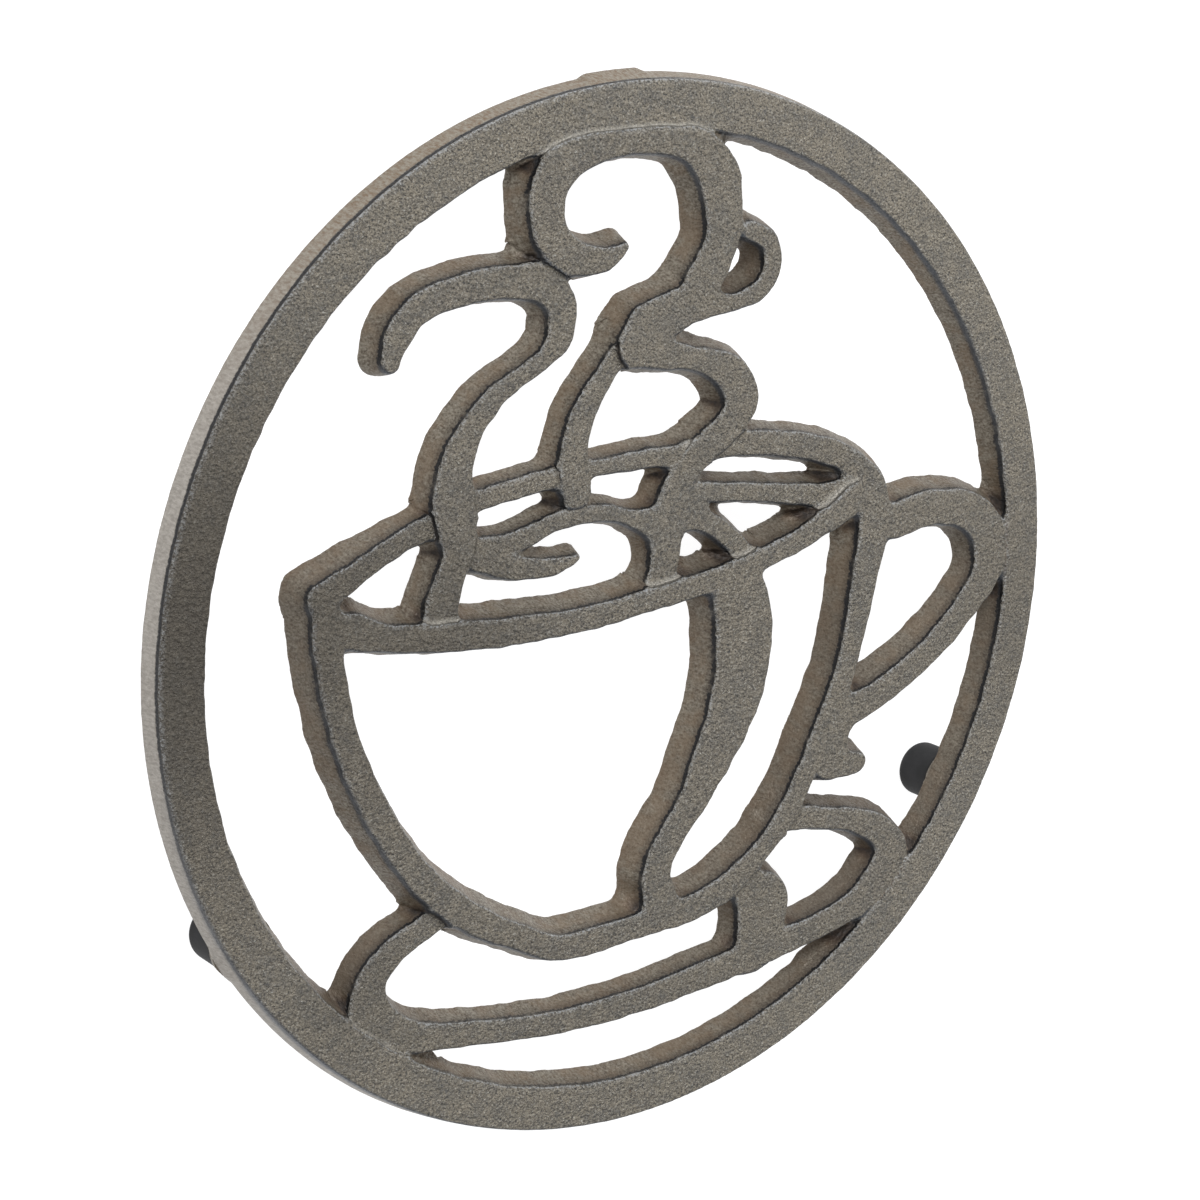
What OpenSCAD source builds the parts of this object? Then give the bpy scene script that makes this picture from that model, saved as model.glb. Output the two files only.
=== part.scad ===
// Cast iron trivet: a round rim that holds the line drawing of a steaming cup on its saucer,
// on three pegs with push-on rubber caps.
// Millimetres, +Z up. The origin is on the floor under the middle of the rim,
// and +Y points to the top of the drawing.

/* [Rim] */
// Outer diameter of the rim at its back face
plate_d = 200; // [160:1:260]
// Width of the flat rim band, halfway up its walls
ring_w = 10.5; // [9:0.1:14]
// Thickness of the rim
ring_t = 4.8; // [3.5:0.1:8]
// How far the outer wall of the rim leans in from back to front
ring_draft = 1.1; // [0.3:0.1:2]

/* [Drawing] */
// How far each line's wall stands outside its face, halfway down
wall_draft = 0.8; // [0.3:0.1:1.2]
// Radius that fills the corners where lines meet
fillet_r = 1.1; // [0.4:0.1:1.6]
// Line width of the cup's side walls and bottom
cup_w = 5.5; // [4:0.1:7]
// Line width of the cup's front rim
front_w = 5; // [4:0.1:6.5]
// Line width of the cup's back rim
back_w = 4.5; // [3.5:0.1:5.5]
// Widest part of the highlight on the cup's side
highlight_w = 12; // [8:0.1:14]
// Line width of the cup's handle
handle_w = 7; // [5:0.1:8]
// Line width of the end that curls below the handle
curl_w = 8; // [5:0.1:9]
// Line width of the saucer
saucer_w = 5.5; // [4:0.1:6.5]
// Width of the stem that joins the cup to the saucer
stem_w = 10; // [7:0.1:11]
// Line width of the lines on the drink's surface
surface_w = 3.5; // [2.5:0.1:4]
// Line width of the steam at the left
left_steam_w = 6; // [4.5:0.1:7]
// Line width of the steam in the middle
middle_steam_w = 6.5; // [5:0.1:7]
// Line width of the lower steam line that enters the drink
lower_steam_w = 5.5; // [4:0.1:6.5]
// Line width of the small steam loop
loop_w = 4; // [3:0.1:4.5]
// Line width of the top swirl of steam
swirl_w = 8; // [6:0.1:8.5]

/* [Relief] */
// Rise of the cup, its front rim and highlight over the rim
cup_rise = 0.9; // [0:0.1:1.5]
// Rise of the handle over the rim
handle_rise = 0.6; // [0:0.1:1.5]
// Rise of the top swirl over the rim
swirl_rise = 0.6; // [0:0.1:1.5]
// Rise of the middle steam over the rim
middle_rise = 0.5; // [0:0.1:1.5]
// How far the left steam lies below the face of the rim
left_drop = 0.1; // [0:0.1:1.5]
// How far the saucer lies below the face of the rim
saucer_drop = 0.4; // [0:0.1:1.5]
// How far the drink's surface lines lie below the face of the rim
surface_drop = 0.5; // [0:0.1:1.5]
// How far the cup's back rim lies below the face of the rim
back_drop = 0.9; // [0:0.1:1.5]

/* [Feet] */
// Height of a rubber cap, floor to its open rim
cap_h = 9.2; // [6:0.1:14]
// Outer diameter of a rubber cap
cap_d = 11; // [10:0.1:12.5]
// Round of a cap's lower edge
cap_round = 1.9; // [0.5:0.1:2.5]
// Round of a cap's open rim
cap_lip = 0.4; // [0.2:0.1:0.8]
// Depth of the bore in a cap
cap_bore = 7.5; // [3.5:0.1:9]
// Diameter of the iron peg in a cap
peg_d = 6; // [4:0.1:7]
// Gap between a peg and the bottom of its bore
peg_end_gap = 0.5; // [0.2:0.1:1]
// Diameter of the cast collar over a cap
collar_d = 12; // [11:0.1:13]
// Height of the cast collar over a cap
collar_h = 1.5; // [0.8:0.1:3]
// Direction of the foot behind the top swirl, in degrees from +X
foot_turn = 98.5; // [90:0.5:110]

/* [Hidden] */
// Gap all round between a peg and the wall of its bore
peg_gap = 0.05;
// Length by which a cut runs past what it cuts, and a joined solid reaches into its neighbour
overrun = 0.5;
// Half the width of the thinnest strip that a line may leave beside another
sliver = 0.15;
// Pieces of each curve between two points of a table
curve_steps = 4;
// Sides of each full circle
sides = 96;
// Sides that a full circle would have in the filled corners between lines
fillet_sides = 16;
// Feet round the rim
feet = 3;

plate_r = plate_d / 2;
ring_in_r = plate_r - ring_w;
foot_r = plate_r - ring_w / 2;
back_z = cap_h + collar_h;
peg_r = peg_d / 2;
bore_r = peg_r + peg_gap;
peg_h = cap_bore - peg_end_gap;

// Each row of a table is a point on the middle of a line. Its first two values are shares of
// the rim's outer radius, to the right and to the top of the drawing. The third is the share of
// the line's named width at that point.
cup_wall_shares = [
    [-0.685, 0.030, 0.95], [-0.673, -0.030, 1.05], [-0.656, -0.090, 1.02], [-0.628, -0.170, 0.98],
    [-0.595, -0.240, 0.98], [-0.537, -0.334, 1.00], [-0.460, -0.429, 0.98], [-0.387, -0.497, 1.03],
    [-0.290, -0.556, 1.02], [-0.193, -0.593, 0.90], [-0.115, -0.619, 0.90], [-0.070, -0.621, 0.93],
    [0.000, -0.610, 0.95], [0.080, -0.593, 0.91], [0.150, -0.578, 0.95], [0.220, -0.560, 1.00],
    [0.285, -0.528, 1.05], [0.325, -0.492, 0.95], [0.358, -0.460, 0.85], [0.412, -0.384, 0.91],
    [0.453, -0.283, 0.91], [0.485, -0.185, 1.00], [0.507, -0.102, 0.95], [0.515, -0.030, 0.98],
    [0.520, 0.030, 1.09], [0.522, 0.100, 1.22], [0.526, 0.165, 1.35], [0.520, 0.220, 1.27],
    [0.500, 0.270, 1.10]];
front_rim_shares = [
    [-0.655, -0.010, 1.10], [-0.620, -0.015, 1.25], [-0.570, -0.026, 1.04], [-0.500, -0.029, 1.00],
    [-0.400, -0.025, 1.06], [-0.300, -0.017, 1.08], [-0.200, -0.005, 0.96], [-0.100, 0.013, 0.92],
    [0.000, 0.039, 0.88], [0.100, 0.065, 0.88], [0.200, 0.096, 0.90], [0.280, 0.129, 0.88],
    [0.350, 0.163, 0.90], [0.410, 0.198, 0.98], [0.460, 0.235, 1.20], [0.500, 0.265, 1.10]];
highlight_shares = [
    [0.215, 0.055, 1.00], [0.228, 0.025, 1.08], [0.240, -0.015, 1.13], [0.248, -0.080, 1.08],
    [0.244, -0.145, 1.02], [0.228, -0.210, 0.90], [0.203, -0.275, 0.78], [0.178, -0.342, 0.61],
    [0.143, -0.402, 0.53], [0.118, -0.453, 0.55], [0.113, -0.500, 0.55], [0.130, -0.550, 0.67]];
handle_shares = [
    [0.535, 0.197, 1.00], [0.585, 0.202, 1.06], [0.650, 0.223, 1.07], [0.710, 0.229, 1.03],
    [0.770, 0.223, 1.09], [0.825, 0.190, 1.21], [0.853, 0.140, 1.26], [0.846, 0.090, 1.09],
    [0.813, 0.037, 0.94], [0.765, -0.022, 0.90], [0.705, -0.077, 0.84], [0.640, -0.123, 0.86],
    [0.580, -0.160, 0.86], [0.520, -0.185, 1.00]];
curl_shares = [[0.490, -0.265, 1.00], [0.520, -0.270, 0.98], [0.558, -0.273, 0.95]];
swirl_shares = [
    [0.032, 0.632, 1.05], [0.059, 0.700, 0.95], [0.057, 0.760, 1.04],
    [0.034, 0.825, 1.15], [-0.020, 0.868, 0.90], [-0.070, 0.876, 0.70], [-0.140, 0.872, 0.58],
    [-0.200, 0.860, 0.60], [-0.275, 0.837, 0.80], [-0.320, 0.800, 1.02], [-0.332, 0.750, 0.94],
    [-0.313, 0.690, 0.88], [-0.265, 0.657, 0.76], [-0.210, 0.654, 0.62], [-0.175, 0.666, 0.42],
    [-0.152, 0.684, 0.18]];
loop_shares = [
    [-0.080, 0.542, 2.25], [-0.003, 0.583, 1.90], [0.062, 0.592, 1.12], [0.110, 0.600, 0.82],
    [0.157, 0.620, 0.95], [0.183, 0.653, 1.00], [0.186, 0.685, 1.00], [0.168, 0.718, 0.95],
    [0.125, 0.731, 0.90]];
middle_steam_shares = [
    [-0.095, 0.510, 1.31], [-0.040, 0.498, 0.92], [0.020, 0.492, 0.69], [0.075, 0.486, 0.77],
    [0.120, 0.470, 1.05], [0.150, 0.443, 1.20], [0.160, 0.410, 1.14], [0.146, 0.380, 1.05],
    [0.115, 0.348, 0.98], [0.085, 0.318, 0.95], [0.058, 0.280, 0.92], [0.044, 0.240, 1.00],
    [0.044, 0.200, 1.07]];
lower_steam_shares = [
    [-0.115, 0.505, 0.90], [-0.146, 0.463, 0.78], [-0.170, 0.422, 0.87], [-0.190, 0.375, 0.98],
    [-0.198, 0.330, 1.04], [-0.198, 0.290, 1.09], [-0.189, 0.258, 1.16], [-0.180, 0.235, 1.10]];
left_steam_shares = [
    [-0.606, 0.456, 0.70], [-0.596, 0.502, 0.92], [-0.563, 0.546, 0.92], [-0.505, 0.576, 0.93],
    [-0.435, 0.596, 0.97], [-0.370, 0.606, 1.03], [-0.315, 0.606, 1.17], [-0.273, 0.576, 1.07],
    [-0.262, 0.533, 0.95], [-0.266, 0.505, 0.83], [-0.297, 0.470, 0.63], [-0.338, 0.440, 0.58],
    [-0.386, 0.400, 0.73], [-0.423, 0.348, 0.87], [-0.443, 0.300, 1.10], [-0.448, 0.250, 1.27],
    [-0.442, 0.205, 1.43], [-0.426, 0.160, 1.27], [-0.422, 0.120, 1.03], [-0.432, 0.080, 1.03],
    [-0.441, 0.035, 1.17], [-0.441, 0.000, 1.17]];
saucer_shares = [
    [-0.365, -0.550, 0.90], [-0.405, -0.576, 0.90], [-0.450, -0.606, 1.02], [-0.480, -0.640, 1.09],
    [-0.493, -0.680, 1.30], [-0.480, -0.730, 1.50], [-0.410, -0.770, 1.20], [-0.330, -0.779, 0.95],
    [-0.250, -0.780, 0.87], [-0.150, -0.779, 0.84], [-0.050, -0.773, 0.85], [0.050, -0.759, 0.93],
    [0.150, -0.740, 0.96], [0.250, -0.713, 1.05], [0.330, -0.692, 1.09], [0.420, -0.664, 1.09],
    [0.500, -0.640, 1.02], [0.580, -0.610, 1.02], [0.650, -0.570, 1.27], [0.690, -0.520, 1.45],
    [0.708, -0.480, 1.45], [0.685, -0.445, 1.18], [0.640, -0.420, 1.05], [0.590, -0.408, 0.87],
    [0.530, -0.402, 0.82], [0.470, -0.398, 0.84], [0.410, -0.400, 0.90]];
stem_shares = [
    [0.340, -0.525, 0.70], [0.375, -0.550, 0.90], [0.398, -0.590, 1.05], [0.395, -0.640, 1.00],
    [0.385, -0.680, 0.60]];
surface_line_shares = [
    [-0.410, 0.130, 1.60], [-0.380, 0.130, 1.14], [-0.320, 0.136, 1.14], [-0.270, 0.153, 1.14],
    [-0.220, 0.178, 0.97], [-0.170, 0.193, 0.97], [-0.110, 0.199, 0.90], [-0.060, 0.193, 0.86],
    [-0.010, 0.185, 1.43], [0.035, 0.175, 2.00]];
surface_hook_shares = [
    [-0.370, 0.113, 1.43], [-0.310, 0.098, 1.31], [-0.260, 0.094, 1.14], [-0.210, 0.098, 0.91],
    [-0.175, 0.108, 0.63], [-0.158, 0.117, 0.34]];
surface_down_shares = [
    [0.045, 0.240, 1.85], [0.035, 0.180, 2.20], [0.040, 0.120, 1.83], [0.036, 0.075, 1.95]];
surface_slant_shares = [
    [0.070, 0.210, 2.20], [0.120, 0.190, 1.28], [0.165, 0.170, 1.14], [0.205, 0.143, 1.20],
    [0.230, 0.115, 1.43]];
surface_far_shares = [
    [0.060, 0.240, 1.20], [0.150, 0.244, 1.03], [0.240, 0.246, 1.03], [0.330, 0.245, 1.14],
    [0.410, 0.246, 1.31], [0.470, 0.260, 1.43]];
back_rim_shares = [
    [-0.695, 0.045, 1.20], [-0.655, 0.070, 1.11], [-0.600, 0.105, 0.96], [-0.550, 0.132, 0.96],
    [-0.500, 0.158, 1.00], [-0.440, 0.187, 0.98], [-0.390, 0.214, 0.87], [-0.330, 0.233, 0.84],
    [-0.270, 0.250, 0.84], [-0.210, 0.264, 0.80], [-0.150, 0.279, 0.70], [-0.090, 0.291, 0.72],
    [-0.030, 0.303, 0.80], [0.030, 0.310, 0.90], [0.090, 0.323, 1.06], [0.160, 0.336, 1.06],
    [0.240, 0.340, 1.06], [0.320, 0.338, 1.11], [0.390, 0.331, 1.11], [0.450, 0.310, 1.16],
    [0.500, 0.275, 1.22], [0.523, 0.225, 1.33]];

iron = "#7f786e";
rubber = "#3c3d3f";

// Point of a smooth curve between b and c, where t runs from 0 at b to 1 at c.
function between(a, b, c, d, t) =
    b + t / 2 * (c - a + t * (2 * a - 5 * b + 4 * c - d + t * (3 * (b - c) + d - a)));

// Rows of a table, with rows of the smooth curve added between them.
function smooth(rows) =
    let (last = len(rows) - 1)
    [for (i = [0 : last - 1], s = [0 : curve_steps - 1])
         between(rows[max(i - 1, 0)], rows[i], rows[i + 1], rows[min(i + 2, last)], s / curve_steps),
     rows[last]];

// Middle line and full width, in real sizes, of a line of the drawing.
function sized(rows, width) =
    [for (row = smooth(rows)) [row.x * plate_r, row.y * plate_r, row.z * width + 2 * wall_draft]];

// Unit vector across the line at place i, to its left.
function across(path, i) =
    let (step = path[min(i + 1, len(path) - 1)] - path[max(i - 1, 0)],
         flat = [-step.y, step.x])
    flat / norm(flat);

function edge(path, side) =
    [for (i = [0 : len(path) - 1]) [path[i].x, path[i].y] + side * path[i].z / 2 * across(path, i)];

function backwards(points) = [for (i = [len(points) - 1 : -1 : 0]) points[i]];

// One line of the drawing, with round ends.
module stroke(rows, width) {
    path = sized(rows, width);
    polygon(concat(edge(path, 1), backwards(edge(path, -1))));
    for (tip = [path[0], path[len(path) - 1]])
        translate([tip.x, tip.y]) circle(d = tip.z, $fn = sides / 4);
}

// Lines of one piece. A lower number wins where two pieces cross.
module lines(piece) {
    if (piece == 0) stroke(cup_wall_shares, cup_w);
    if (piece == 1) stroke(front_rim_shares, front_w);
    if (piece == 2) stroke(highlight_shares, highlight_w);
    if (piece == 3) {
        stroke(handle_shares, handle_w);
        stroke(curl_shares, curl_w);
    }
    if (piece == 4) {
        stroke(loop_shares, loop_w);
        stroke(middle_steam_shares, middle_steam_w);
        stroke(lower_steam_shares, lower_steam_w);
    }
    if (piece == 5) stroke(swirl_shares, swirl_w);
    if (piece == 6) stroke(left_steam_shares, left_steam_w);
    if (piece == 7) {
        stroke(saucer_shares, saucer_w);
        stroke(stem_shares, stem_w);
    }
    if (piece == 8) {
        stroke(surface_line_shares, surface_w);
        stroke(surface_hook_shares, surface_w);
        stroke(surface_down_shares, surface_w);
        stroke(surface_slant_shares, surface_w);
        stroke(surface_far_shares, surface_w);
    }
    if (piece == 9) stroke(back_rim_shares, back_w);
}

// Rim band and every line up to a piece, with the corners between them filled.
module web(piece) {
    offset(r = -fillet_r, $fn = fillet_sides) offset(r = fillet_r, $fn = fillet_sides) {
        difference() {
            circle(r = plate_r, $fn = sides);
            circle(r = ring_in_r, $fn = 2 * sides);
        }
        for (i = [0 : 1 : piece]) lines(i);
    }
}

// One piece of the drawing: its own lines, less the pieces that win over it.
module relief(piece, height) {
    translate([0, 0, back_z])
        linear_extrude(height)
            offset(r = sliver, $fn = fillet_sides) offset(r = -sliver, $fn = fillet_sides) intersection() {
                circle(r = plate_r, $fn = sides);
                difference() {
                    web(piece);
                    web(piece - 1);
                }
            }
}

module at_foot(i) {
    rotate(foot_turn + i * 360 / feet) translate([foot_r, 0, 0]) children();
}

// Rim, with a collar and a peg below it for each foot.
module rim_with_pegs() {
    color(iron) difference() {
        union() {
            translate([0, 0, back_z])
                cylinder(r1 = plate_r, r2 = plate_r - ring_draft, h = ring_t, $fn = 2 * sides);
            for (i = [0 : feet - 1])
                at_foot(i) {
                    translate([0, 0, cap_h])
                        cylinder(d = collar_d, h = collar_h + overrun, $fn = sides);
                    translate([0, 0, cap_h - peg_h])
                        cylinder(r = peg_r, h = peg_h + overrun, $fn = sides);
                }
        }
        translate([0, 0, back_z])
            cylinder(r = ring_in_r, h = ring_t + overrun, $fn = 2 * sides);
    }
}

module cup_wall() {
    color(iron) relief(0, ring_t + cup_rise);
}

module cup_front_rim() {
    color(iron) relief(1, ring_t + cup_rise);
}

module cup_highlight() {
    color(iron) relief(2, ring_t + cup_rise);
}

module cup_handle() {
    color(iron) relief(3, ring_t + handle_rise);
}

module top_swirl() {
    color(iron) relief(5, ring_t + swirl_rise);
}

module middle_steam() {
    color(iron) relief(4, ring_t + middle_rise);
}

module left_steam() {
    color(iron) relief(6, ring_t - left_drop);
}

module saucer() {
    color(iron) relief(7, ring_t - saucer_drop);
}

module drink_surface() {
    color(iron) relief(8, ring_t - surface_drop);
}

module cup_back_rim() {
    color(iron) relief(9, ring_t - back_drop);
}

// Points of a quarter round about a centre, from one angle to another.
function arc(centre, r, from, to) =
    [for (s = [0 : curve_steps]) centre + r * [cos(from + (to - from) * s / curve_steps),
                                               sin(from + (to - from) * s / curve_steps)]];

// Rubber cap with its closed end on the floor and its bore up.
module cap() {
    outline = concat(
        [[0, 0]],
        arc([cap_d / 2 - cap_round, cap_round], cap_round, -90, 0),
        arc([cap_d / 2 - cap_lip, cap_h - cap_lip], cap_lip, 0, 90),
        [[bore_r, cap_h], [bore_r, cap_h - cap_bore], [0, cap_h - cap_bore]]);
    color(rubber) rotate_extrude($fn = sides) polygon(outline);
}

module cap_top() {
    at_foot(0) cap();
}

module cap_left() {
    at_foot(1) cap();
}

module cap_right() {
    at_foot(2) cap();
}

rim_with_pegs();
cup_wall();
cup_front_rim();
cup_highlight();
cup_handle();
top_swirl();
middle_steam();
left_steam();
saucer();
drink_surface();
cup_back_rim();
cap_top();
cap_left();
cap_right();
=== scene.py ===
"""Looks of the trivet: one sand-cast iron casting on three push-on rubber caps.

The casting is a height field over the plate. Each line of the drawing is a signed distance in
plan, which a profile turns into a face, a rounded crest and a wall with casting draft. The highest
line wins at each point, so steps and joints between lines come out by themselves. Sizes are in
millimetres until a mesh is made.
"""

import logging
import math
from dataclasses import dataclass, field
from enum import Enum

import bpy
import numpy as np
from mathutils import Matrix


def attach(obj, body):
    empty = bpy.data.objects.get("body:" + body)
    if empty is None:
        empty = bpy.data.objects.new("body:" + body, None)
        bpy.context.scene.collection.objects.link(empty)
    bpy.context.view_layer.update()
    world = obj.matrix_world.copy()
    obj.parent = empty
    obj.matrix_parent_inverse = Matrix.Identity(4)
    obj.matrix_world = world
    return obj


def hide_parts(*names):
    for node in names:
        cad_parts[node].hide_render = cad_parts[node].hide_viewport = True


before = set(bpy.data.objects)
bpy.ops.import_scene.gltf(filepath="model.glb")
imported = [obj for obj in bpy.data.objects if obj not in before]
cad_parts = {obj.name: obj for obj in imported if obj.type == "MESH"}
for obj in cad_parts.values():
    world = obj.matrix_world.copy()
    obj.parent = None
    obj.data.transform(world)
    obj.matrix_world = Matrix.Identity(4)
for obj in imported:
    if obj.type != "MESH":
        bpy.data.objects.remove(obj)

MM = 0.001
LOG = logging.getLogger("trivet")
Rows = tuple[tuple[float, ...], ...]

# Waves in a ripple, and the distance in mm where no line reaches.
WAVES = 14
BEYOND = 30.0

# Name, angle and radius of each foot. The top one is 1.75 mm further in than in the CAD, so that
# the rim hides its cap.
FEET = (("top", 98.5, 93.0), ("left", 218.5, 94.75), ("right", 338.5, 94.75))


def linear(code: str) -> tuple[float, float, float, float]:
    """Turn an sRGB hex colour into linear red, green, blue and alpha.

    Args:
        code: six hex digits after a hash sign.

    Returns:
        The colour that a shader socket takes.
    """
    parts = np.array([int(code[i:i + 2], 16) for i in (1, 3, 5)]) / 255
    low, high = parts / 12.92, ((parts + 0.055) / 1.055) ** 2.4
    return (*np.where(parts <= 0.04045, low, high).tolist(), 1.0)


def ripple(x: np.ndarray, y: np.ndarray, wave: float, seed: int) -> np.ndarray:
    """Smooth bumps over the plan: a sum of plane waves in seeded directions.

    Args:
        x: places to the right, in mm.
        y: places up, in mm.
        wave: mean length of a bump, in mm.
        seed: seed of the directions and phases.

    Returns:
        Heights with a spread of about one.
    """
    rng = np.random.default_rng(seed)
    out = np.zeros_like(x)
    for turn, phase, stretch in rng.random((WAVES, 3)):
        k = 2 * math.pi / wave * (0.6 + 0.9 * stretch)
        along = x * math.cos(2 * math.pi * turn) + y * math.sin(2 * math.pi * turn)
        out += np.sin(k * along + 2 * math.pi * phase)
    return out * math.sqrt(2 / WAVES)


def ramp(value: np.ndarray, low: float, high: float) -> np.ndarray:
    """Smooth step from 0 at low to 1 at high: 3t squared less 2t cubed."""
    t = np.clip((value - low) / (high - low), 0, 1)
    return t * t * (3 - 2 * t)


def place_at(radius: float, deg: float) -> tuple[float, float]:
    """Place in plan at a distance from the middle, turned by an angle in degrees."""
    return radius * math.cos(math.radians(deg)), radius * math.sin(math.radians(deg))


class Level(Enum):
    """Sets of lines that share one face height, which runs on from line to line."""

    RIM = 0
    CUP = 1
    SWIRL = 2
    MIDDLE = 3
    LOWER = 4
    LEFT = 5
    SAUCER = 6
    FAR = 7


@dataclass(frozen=True)
class Line:
    """One line of the drawing.

    Its rows hold thousandths of the rim's radius to the right and up, and hundredths of its width.
    """

    rows: Rows
    width: float

    def path(self, radius: float, steps: int = 4) -> np.ndarray:
        """Points on the middle of the line with its width there.

        Between two rows runs a Catmull-Rom curve:
        b + t/2 (c - a + t (2a - 5b + 4c - d + t (3b - 3c + d - a))).

        Args:
            radius: outer radius of the rim.
            steps: pieces of curve between two rows.

        Returns:
            Rows of x, y and width, in mm.
        """
        p = np.array(self.rows) / (1000, 1000, 100)
        p = np.concatenate([p[:1], p, p[-1:]])
        t = (np.arange(steps) / steps)[None, :, None]
        a, b, c, d = (p[i:len(p) - 3 + i, None, :] for i in range(4))
        curve = b + t / 2 * (c - a + t * (2 * a - 5 * b + 4 * c - d + t * (3 * (b - c) + d - a)))
        out = np.concatenate([curve.reshape(-1, 3), p[-1:]])
        return out * np.array([radius, radius, self.width])

    def distance(self, xs: np.ndarray, radius: float, reach: float = 12.0) -> np.ndarray:
        """Signed distance from the edge of the line's face to each point of a square raster.

        Each piece of the path is a capsule whose half width changes along it: the distance to
        its middle, less the half width at the nearest place. The nearest capsule counts.

        Args:
            xs: places of the raster's columns, and of its rows.
            radius: outer radius of the rim.
            reach: how far from a piece's middle the distance is worked out.

        Returns:
            The distances, in rows, negative inside.
        """
        out = np.full((len(xs), len(xs)), BEYOND)
        path = self.path(radius)
        for a, b in zip(path[:-1], path[1:]):
            i0, i1 = np.searchsorted(xs, [min(a[0], b[0]) - reach, max(a[0], b[0]) + reach])
            j0, j1 = np.searchsorted(xs, [min(a[1], b[1]) - reach, max(a[1], b[1]) + reach])
            x, y = xs[None, i0:i1], xs[j0:j1, None]
            dx, dy = b[0] - a[0], b[1] - a[1]
            t = np.clip(((x - a[0]) * dx + (y - a[1]) * dy) / (dx * dx + dy * dy), 0, 1)
            d = np.hypot(x - a[0] - t * dx, y - a[1] - t * dy) - (a[2] + t * (b[2] - a[2])) / 2
            out[j0:j1, i0:i1] = np.minimum(out[j0:j1, i0:i1], d)
        return out


@dataclass(frozen=True)
class Member:
    """A named part of the casting, with the CAD node it stands for and its lines."""

    node: str
    level: Level
    lines: tuple[Line, ...]


CUP_WALL = Line((
    (-685, 30, 95), (-673, -30, 105), (-656, -90, 102), (-628, -170, 98), (-595, -240, 98),
    (-537, -334, 100), (-460, -429, 98), (-387, -497, 103), (-290, -556, 102), (-193, -593, 90),
    (-115, -619, 90), (-70, -621, 93), (0, -610, 95), (80, -593, 91), (150, -578, 95),
    (220, -560, 100), (285, -528, 105), (325, -492, 95), (358, -460, 85), (412, -384, 91),
    (453, -283, 91), (485, -185, 100), (507, -102, 95), (515, -30, 98), (520, 30, 109),
    (522, 100, 122), (526, 165, 135), (520, 220, 127), (500, 270, 110)), 5.5)
FRONT_RIM = Line((
    (-655, -10, 110), (-620, -15, 125), (-570, -26, 104), (-500, -29, 100), (-400, -25, 106),
    (-300, -17, 108), (-200, -5, 96), (-100, 13, 92), (0, 39, 88), (100, 65, 88), (200, 96, 90),
    (280, 129, 88), (350, 163, 90), (410, 198, 98), (460, 235, 120), (500, 265, 110)), 5.0)
HIGHLIGHT = Line((
    (215, 55, 100), (228, 25, 108), (240, -15, 113), (248, -80, 108), (244, -145, 102),
    (228, -210, 90), (203, -275, 78), (178, -342, 61), (143, -402, 53), (118, -453, 55),
    (113, -500, 55), (130, -550, 67)), 12.0)
HANDLE = Line((
    (535, 197, 100), (585, 202, 106), (650, 223, 107), (710, 229, 103), (770, 223, 109),
    (825, 190, 121), (853, 140, 126), (846, 90, 109), (813, 37, 94), (765, -22, 90),
    (705, -77, 84), (640, -123, 86), (580, -160, 86), (520, -185, 100)), 7.0)
CURL = Line((
    (505, -225, 90), (495, -265, 125), (530, -287, 74), (566, -288, 58), (578, -284, 44)), 8.0)
SWIRL = Line((
    (32, 632, 105), (59, 700, 95), (57, 760, 104), (34, 825, 115), (-20, 868, 90), (-70, 876, 70),
    (-140, 872, 58), (-200, 860, 60), (-275, 837, 80), (-320, 800, 102), (-332, 750, 94),
    (-313, 690, 88), (-265, 657, 76), (-210, 654, 62), (-175, 666, 42), (-152, 684, 18)), 8.0)
LOOP = Line((
    (-80, 542, 225), (-3, 583, 190), (62, 592, 112), (110, 600, 82), (157, 620, 95),
    (183, 653, 100), (186, 685, 100), (168, 718, 95), (125, 731, 90)), 4.0)
MIDDLE_STEAM = Line((
    (-95, 510, 131), (-40, 498, 92), (20, 492, 69), (75, 486, 77), (120, 470, 105),
    (150, 443, 120), (160, 410, 114), (146, 380, 105), (115, 348, 98), (85, 318, 95),
    (58, 280, 92), (44, 240, 100), (44, 200, 107)), 6.5)
LOWER_STEAM = Line((
    (-115, 505, 90), (-146, 463, 78), (-170, 422, 87), (-190, 375, 98), (-198, 330, 104),
    (-198, 290, 109), (-189, 258, 116), (-180, 235, 110)), 5.5)
LEFT_STEAM = Line((
    (-606, 456, 70), (-596, 502, 92), (-563, 546, 92), (-505, 576, 93), (-435, 596, 97),
    (-370, 606, 103), (-315, 606, 117), (-273, 576, 107), (-262, 533, 95), (-266, 505, 83),
    (-297, 470, 63), (-338, 440, 58), (-386, 400, 73), (-423, 348, 87), (-443, 300, 110),
    (-448, 250, 127), (-442, 205, 143), (-426, 160, 127), (-422, 120, 103), (-432, 80, 103),
    (-441, 35, 117), (-441, 0, 117)), 6.0)
SAUCER = Line((
    (-365, -550, 90), (-405, -576, 90), (-450, -606, 102), (-480, -640, 109), (-493, -680, 130),
    (-480, -730, 150), (-410, -770, 120), (-330, -779, 95), (-250, -780, 87), (-150, -779, 84),
    (-50, -773, 85), (50, -759, 93), (150, -740, 96), (250, -713, 105), (330, -692, 109),
    (420, -664, 109), (500, -640, 102), (580, -610, 102), (650, -570, 127), (690, -520, 145),
    (708, -480, 145), (685, -445, 118), (640, -420, 105), (590, -408, 87), (530, -402, 82),
    (470, -398, 84), (410, -400, 90)), 5.5)
STEM = Line((
    (340, -525, 70), (375, -553, 95), (393, -570, 124), (396, -605, 116), (395, -645, 102),
    (385, -680, 60)), 10.0)
SURFACE_LINE = Line((
    (-410, 130, 160), (-380, 130, 114), (-320, 136, 114), (-270, 153, 114), (-220, 178, 97),
    (-170, 193, 97), (-110, 199, 90), (-60, 193, 86), (-10, 185, 143), (35, 175, 200)), 3.5)
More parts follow.
